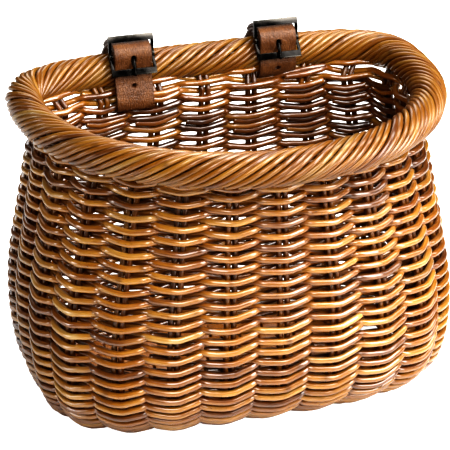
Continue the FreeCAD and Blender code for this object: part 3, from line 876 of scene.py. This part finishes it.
def cane_material(name, depth, gloss):
    """Varnished cane: long fibres, blotches, specks of bark, dark knuckles and pale cut ends."""
    m = Nodes(name)
    grain = m.field("grain").outputs["Vector"]
    fibres = m.noise(m.scaled(grain, (22, 1500, 1500)), 1.0, 3.0, 0.6)
    blotches = m.noise(m.scaled(grain, (45, 160, 160)), 1.0, 2.0)
    drift = m.noise(m.scaled(grain, (7, 0, 0)), 1.0, 1.0)
    specks = m.noise(m.scaled(grain, (420, 1700, 1700)), 1.0, 2.0)
    patches = m.noise(m.scaled(grain, (13, 60, 60)), 1.0, 1.0)
    tone = m.field("tone").outputs["Fac"]
    tone = m.math("ADD", tone, m.between(fibres, 0.3, 0.7, -0.14, 0.14))
    tone = m.math("ADD", tone, m.between(blotches, 0.3, 0.7, -0.12, 0.12))
    tone = m.math("ADD", tone, m.between(drift, 0.3, 0.7, -0.14, 0.14), clamp=True)
    honey = m.ramp(tone, [(0.0, linear("54300f")), (0.3, linear("965a1e")), (0.55, linear("c0822e")),
                          (0.8, linear("dca651")), (1.0, linear("efd095"))])
    ashen = m.ramp(tone, [(0.0, linear("4a2c1a")), (0.35, linear("835a38")),
                          (0.7, linear("b48d5c")), (1.0, linear("dcc095"))])
    colour = m.mix(m.field("grey").outputs["Fac"], honey, ashen)
    bark = m.math("MULTIPLY", m.between(specks, 0.60, 0.68), m.between(patches, 0.56, 0.66))
    colour = m.mix(m.math("MULTIPLY", bark, 0.75), colour, linear("3a1c0c"))
    mark = m.field("mark").outputs["Fac"]
    colour = m.mix(m.math("MULTIPLY", mark, 0.6), colour, linear("4a240e"))
    cut = m.field("cut").outputs["Fac"]
    colour = m.mix(m.math("MULTIPLY", cut, 0.6), colour, linear("c99a5c"))
    colour = m.mix(1.0, colour, (depth, depth * 0.93, depth * 0.64), "MULTIPLY")
    rough = m.math("ADD", m.between(blotches, 0.3, 0.7, 0.30, 0.42), m.math("MULTIPLY", cut, 0.3))
    height = m.math("ADD", m.math("MULTIPLY", fibres, 0.6), m.math("MULTIPLY", specks, 0.4))
    height = m.math("ADD", height, m.math("MULTIPLY", mark, 1.5))
    return m.finish(Base_Color=colour, Roughness=rough, Normal=m.bump(height, 0.00012, 0.6),
                    Coat_Weight=gloss, Coat_Roughness=0.15, Coat_IOR=1.7,
                    Specular_IOR_Level=0.5)


def leather_material():
    """Pebbled brown leather, wrinkled along its length, with painted shade in the pebbles' hollows
    and the wrinkles' troughs, and painted highlight on the wrinkles' crests.
    """
    m = Nodes("leather_brown")
    sheet = m.field("sheet").outputs["Vector"]
    pebble = m.add("ShaderNodeTexVoronoi", feature="DISTANCE_TO_EDGE")
    m.feed(pebble, Vector=m.scaled(sheet, (0.7, 1, 1)), Scale=560.0)
    grain = m.between(pebble.outputs["Distance"], 0.0, 0.16)
    creases = m.noise(m.scaled(sheet, (260, 1100, 300)), 1.0, 2.0)
    clouds = m.noise(m.scaled(sheet, (90, 70, 70)), 1.0, 3.0)
    fine = m.noise(m.scaled(sheet, (2600, 2600, 2600)), 1.0, 2.0)
    # painted shade and highlight: the tone follows the wrinkles, darker in their troughs and lighter
    # on their crests
    tone = m.math("ADD", m.between(clouds, 0.3, 0.7, 0.3, 0.7),
                  m.between(creases, 0.3, 0.7, -0.15, 0.15))
    colour = m.ramp(tone, [(0.0, linear("3f2513")), (0.5, linear("704827")), (1.0, linear("966a40"))])
    # painted shade: darker in the pebbles' hollows
    colour = m.mix(m.between(grain, 0.0, 1.0, 0.22, 0.0), colour, linear("26120a"))
    edge = m.between(m.math("ABSOLUTE", m.channel(sheet, "Y")), 0.0138, 0.0152, 0.0, 0.5)
    colour = m.mix(edge, colour, linear("2a150b"))
    height = m.math("ADD", m.math("MULTIPLY", grain, 0.6), m.math("MULTIPLY", creases, 1.2))
    height = m.math("ADD", height, m.math("MULTIPLY", fine, 0.2))
    return m.finish(Base_Color=colour, Roughness=m.between(clouds, 0.3, 0.7, 0.36, 0.48),
                    Normal=m.bump(height, 0.0004, 0.8), Specular_IOR_Level=0.5,
                    Coat_Weight=0.1, Coat_Roughness=0.3)


def metal_material():
    """Dark metal, cloudy and finely scratched, bright on its edges: partly wear, partly a painted
    highlight.
    """
    m = Nodes("dark_metal")
    here = m.add("ShaderNodeTexCoord").outputs["Object"]
    clouds = m.noise(m.scaled(here, (160, 160, 160)), 1.0, 4.0)
    fine = m.noise(m.scaled(here, (1500, 1500, 1500)), 1.0, 3.0)
    scratches = m.noise(m.scaled(here, (150, 2500, 2500)), 1.0, 2.0)
    # bright edges: partly wear, partly a painted highlight along the edges
    wear_and_glint = m.between(m.add("ShaderNodeNewGeometry").outputs["Pointiness"], 0.53, 0.62)
    colour = m.ramp(clouds, [(0.3, linear("191817")), (0.7, linear("2f2d2b"))])
    colour = m.mix(m.math("MULTIPLY", wear_and_glint, 0.8), colour, linear("b9b2a6"))
    rough = m.math("ADD", m.between(clouds, 0.3, 0.7, 0.14, 0.26), m.between(fine, 0.3, 0.7, 0, 0.06))
    height = m.math("ADD", m.math("MULTIPLY", fine, 0.6), m.math("MULTIPLY", scratches, 0.4))
    return m.finish(Base_Color=colour, Metallic=1.0, Roughness=rough,
                    Normal=m.bump(height, 0.00005, 0.35))


def splint_material():
    """Flat cane with fibres along the splints."""
    m = Nodes("flat_cane")
    sheet = m.field("sheet").outputs["Vector"]
    fibres = m.noise(m.scaled(sheet, (25, 1400, 1400)), 1.0, 3.0, 0.6)
    blotches = m.noise(m.scaled(sheet, (40, 120, 120)), 1.0, 2.0)
    tone = m.math("ADD", m.between(fibres, 0.3, 0.7, 0.2, 0.5), m.between(blotches, 0.3, 0.7, 0, 0.3))
    colour = m.ramp(tone, [(0.0, linear("6b3814")), (0.5, linear("b0702a")), (1.0, linear("d8a55a"))])
    return m.finish(Base_Color=colour, Roughness=m.between(blotches, 0.3, 0.7, 0.35, 0.5),
                    Normal=m.bump(fibres, 0.00012, 0.6), Coat_Weight=0.4, Coat_Roughness=0.2)


def rod_material():
    """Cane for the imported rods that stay: the fibres come from the piece's own coordinates."""
    m = Nodes("plain_cane")
    here = m.add("ShaderNodeTexCoord").outputs["Object"]
    fibres = m.noise(m.scaled(here, (60, 900, 900)), 1.0, 3.0, 0.6)
    blotches = m.noise(m.scaled(here, (50, 90, 90)), 1.0, 2.0)
    tone = m.math("ADD", m.between(fibres, 0.3, 0.7, 0.2, 0.5), m.between(blotches, 0.3, 0.7, 0, 0.3))
    colour = m.ramp(tone, [(0.0, linear("5c2e10")), (0.5, linear("a8641f")), (1.0, linear("d09a4e"))])
    return m.finish(Base_Color=colour, Roughness=m.between(blotches, 0.3, 0.7, 0.32, 0.48),
                    Normal=m.bump(fibres, 0.00012, 0.6), Coat_Weight=0.45, Coat_Roughness=0.18)


# ---- the base ------------------------------------------------------------------------------


def clusters(values, gap):
    """Middles of groups of values that are more than gap apart."""
    ordered = np.sort(values)
    groups = np.split(ordered, np.where(np.diff(ordered) > gap)[0] + 1)
    return np.array([(g[0] + g[-1]) / 2 for g in groups])


def node_points(node):
    """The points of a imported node's mesh."""
    mesh = frame["nodes"][node].data
    points = np.empty(len(mesh.vertices) * 3, np.float32)
    mesh.vertices.foreach_get("co", points)
    return points.reshape(-1, 3).astype(float)


SPLINT_W, SPLINT_T, SPLINT_EDGE_R = 0.0128, 0.0016, 0.0006
SPLINT_STEP = 0.001
SPLINT_REACH = 0.006          # a splint's own points lie this near to its middle
BASE_GAP = 0.004              # the least space between neighbouring rails or splints


def base_mat(material):
    """Flat splints woven over and under the base's rails."""
    rails = clusters(node_points("base_rails")[:, 1], BASE_GAP)
    packed = node_points("base_splints")
    low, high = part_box("base_splints")
    rail_z = row_height("base_rails")
    columns = clusters(packed[:, 0], BASE_GAP)
    swing = (high.z - low.z) / 2 - SPLINT_T / 2 - 0.0001
    meshes = []
    for k, x in enumerate(columns):
        own = packed[np.abs(packed[:, 0] - x) < SPLINT_REACH]
        y = np.arange(own[:, 1].min(), own[:, 1].max(), SPLINT_STEP)
        phase = np.interp(y, rails, np.arange(len(rails)))
        before, after = y < rails[0], y > rails[-1]
        phase[before] = (y[before] - rails[0]) / (rails[1] - rails[0])
        phase[after] = len(rails) - 1 + (y[after] - rails[-1]) / (rails[1] - rails[0])
        z = rail_z + swing * np.cos(math.pi * (phase + k))
        line = np.column_stack([np.full(len(y), x), y, z])
        meshes.append(band_mesh("splint_%02d" % (k + 1), line, SPLINT_W, SPLINT_T, SPLINT_EDGE_R, 6))
    joined = bmesh.new()
    for mesh in meshes:
        joined.from_mesh(mesh)
    whole = bpy.data.meshes.new("woven_base")
    joined.to_mesh(whole)
    joined.free()
    whole.shade_smooth()
    place("woven_base", whole, material, "rattan_strand", BASKET, "base_splints")


# ---- the studio ----------------------------------------------------------------------------


WORLD_LIGHT = 0.04            # what the pieces see of the white world
FLOOR_GLOW = 0.6              # what the camera sees added to the floor
FLOOR_REACH = 6.0
CAMERA_SIDE = -107.8          # the camera's direction seen from above, degrees from +X
LIGHT_CENTRE = Vector((0, 0, 0.12))
# name, degrees round from the camera to the right, height in degrees, distance, size, power
LIGHTS = [
    ("front_box", 4, 44, 1.5, (0.42, 1.0), 9.0),
    ("main_box", 55, 42, 1.5, (0.6, 2.0), 29.0),
    ("side_box", 100, 42, 1.5, (0.4, 1.6), 9.0),
    ("left_strip", -75, 12, 1.5, (0.2, 0.8), 3.0),
    ("top_box", 150, 70, 1.5, (0.8, 0.3), 1.8),
    ("back_fill", 190, 35, 1.8, (1.2, 0.8), 6.0),
]


def studio():
    """A pale floor, a white world and soft lights."""
    floor()
    world()
    for name, round_by, raised, distance, size, power in LIGHTS:
        area = bpy.data.lights.new(name, "AREA")
        area.shape, area.size, area.size_y = "RECTANGLE", size[0], size[1]
        area.energy = power
        lamp = bpy.data.objects.new(name, area)
        side, height = math.radians(CAMERA_SIDE + round_by), math.radians(raised)
        outward = Vector((math.cos(height) * math.cos(side), math.cos(height) * math.sin(side),
                          math.sin(height)))
        lamp.location = LIGHT_CENTRE + outward * distance
        lamp.rotation_euler = outward.to_track_quat("Z", "Y").to_euler()
        bpy.context.scene.collection.objects.link(lamp)


def floor():
    mesh = bpy.data.meshes.new("floor")
    corners = [(-FLOOR_REACH, -FLOOR_REACH, 0), (FLOOR_REACH, -FLOOR_REACH, 0),
               (FLOOR_REACH, FLOOR_REACH, 0), (-FLOOR_REACH, FLOOR_REACH, 0)]
    mesh.from_pydata(corners, [], [(0, 1, 2, 3)])
    sheet = bpy.data.objects.new("floor", mesh)
    bpy.context.scene.collection.objects.link(sheet)
    pale = Nodes("pale_floor")
    seen = pale.add("ShaderNodeLightPath").outputs["Is Camera Ray"]
    mesh.materials.append(pale.finish(Base_Color=(0.85, 0.85, 0.84, 1), Roughness=0.9,
                                      Specular_IOR_Level=0.1, Emission_Color=(1, 1, 1, 1),
                                      Emission_Strength=pale.math("MULTIPLY", seen, FLOOR_GLOW)))
    sheet.location.z = -0.0002


def world():
    """White for the camera and dim for everything else."""
    surroundings = bpy.data.worlds.new("studio")
    bpy.context.scene.world = surroundings
    surroundings.use_nodes = True
    tree = surroundings.node_tree
    background = tree.nodes["Background"]
    seen = tree.nodes.new("ShaderNodeLightPath").outputs["Is Camera Ray"]
    strength = tree.nodes.new("ShaderNodeMapRange")
    strength.inputs["To Min"].default_value = WORLD_LIGHT
    strength.inputs["To Max"].default_value = 1.0
    tree.links.new(seen, strength.inputs["Value"])
    tree.links.new(strength.outputs[0], background.inputs["Strength"])
    background.inputs["Color"].default_value = (1, 1, 1, 1)


CAMERA_TARGET = Vector((-0.0137, -0.0365, 0.142))
CAMERA_SPOT = Vector((-0.5117, -1.5895, 0.909))
LENS, SENSOR = 186.0, 36.0    # millimetres


def camera():
    """Looks down into the basket from the front, a little from its left."""
    lens = bpy.data.cameras.new("camera")
    lens.lens, lens.sensor_width = LENS, SENSOR
    eye = bpy.data.objects.new("camera", lens)
    eye.location = CAMERA_SPOT
    eye.rotation_euler = (CAMERA_TARGET - CAMERA_SPOT).to_track_quat("-Z", "Y").to_euler()
    bpy.context.scene.collection.objects.link(eye)
    bpy.context.scene.camera = eye


# ---- everything ----------------------------------------------------------------------------

strand_cane = cane_material("varnished_cane", 0.65, 1.0)
rim_cane = cane_material("rim_cane", 0.45, 0.5)
# painted shade: a darker copy of the cane for the stakes and the rim's bundle, which lie in shade
shade_darkened_cane = cane_material("dark_cane", 0.48, 0.5)
plain_cane = rod_material()
dark_metal = metal_material()
leather = leather_material()

for level in range(len(ROW_NODES)):
    woven_row(level, strand_cane)
stakes(shade_darkened_cane)
rim_rods(rim_cane)
rim_bundle(shade_darkened_cane)
base_mat(splint_material())
for node in ("rim_core", "base_hoop", "base_rails"):
    packed = frame["nodes"][node]
    packed.data.materials.clear()
    packed.data.materials.append(plain_cane)

for side in ("left", "right"):
    strap(side, leather)
    for node, body, edge in (("buckle_frame", "buckle", 0.0004), ("buckle_pin", "buckle", 0.0002),
                             ("prong", "prong", 0.0002), ("strap_rivet", "strap", 0.0002)):
        softened(node + "_" + side, "worn_glinting_" + node + "_" + side, edge, dark_metal, "gunmetal",
                 side + "_" + body)

studio()
camera()
bpy.context.scene.view_settings.view_transform = "Standard"
bpy.context.scene.view_settings.look = "Very High Contrast"
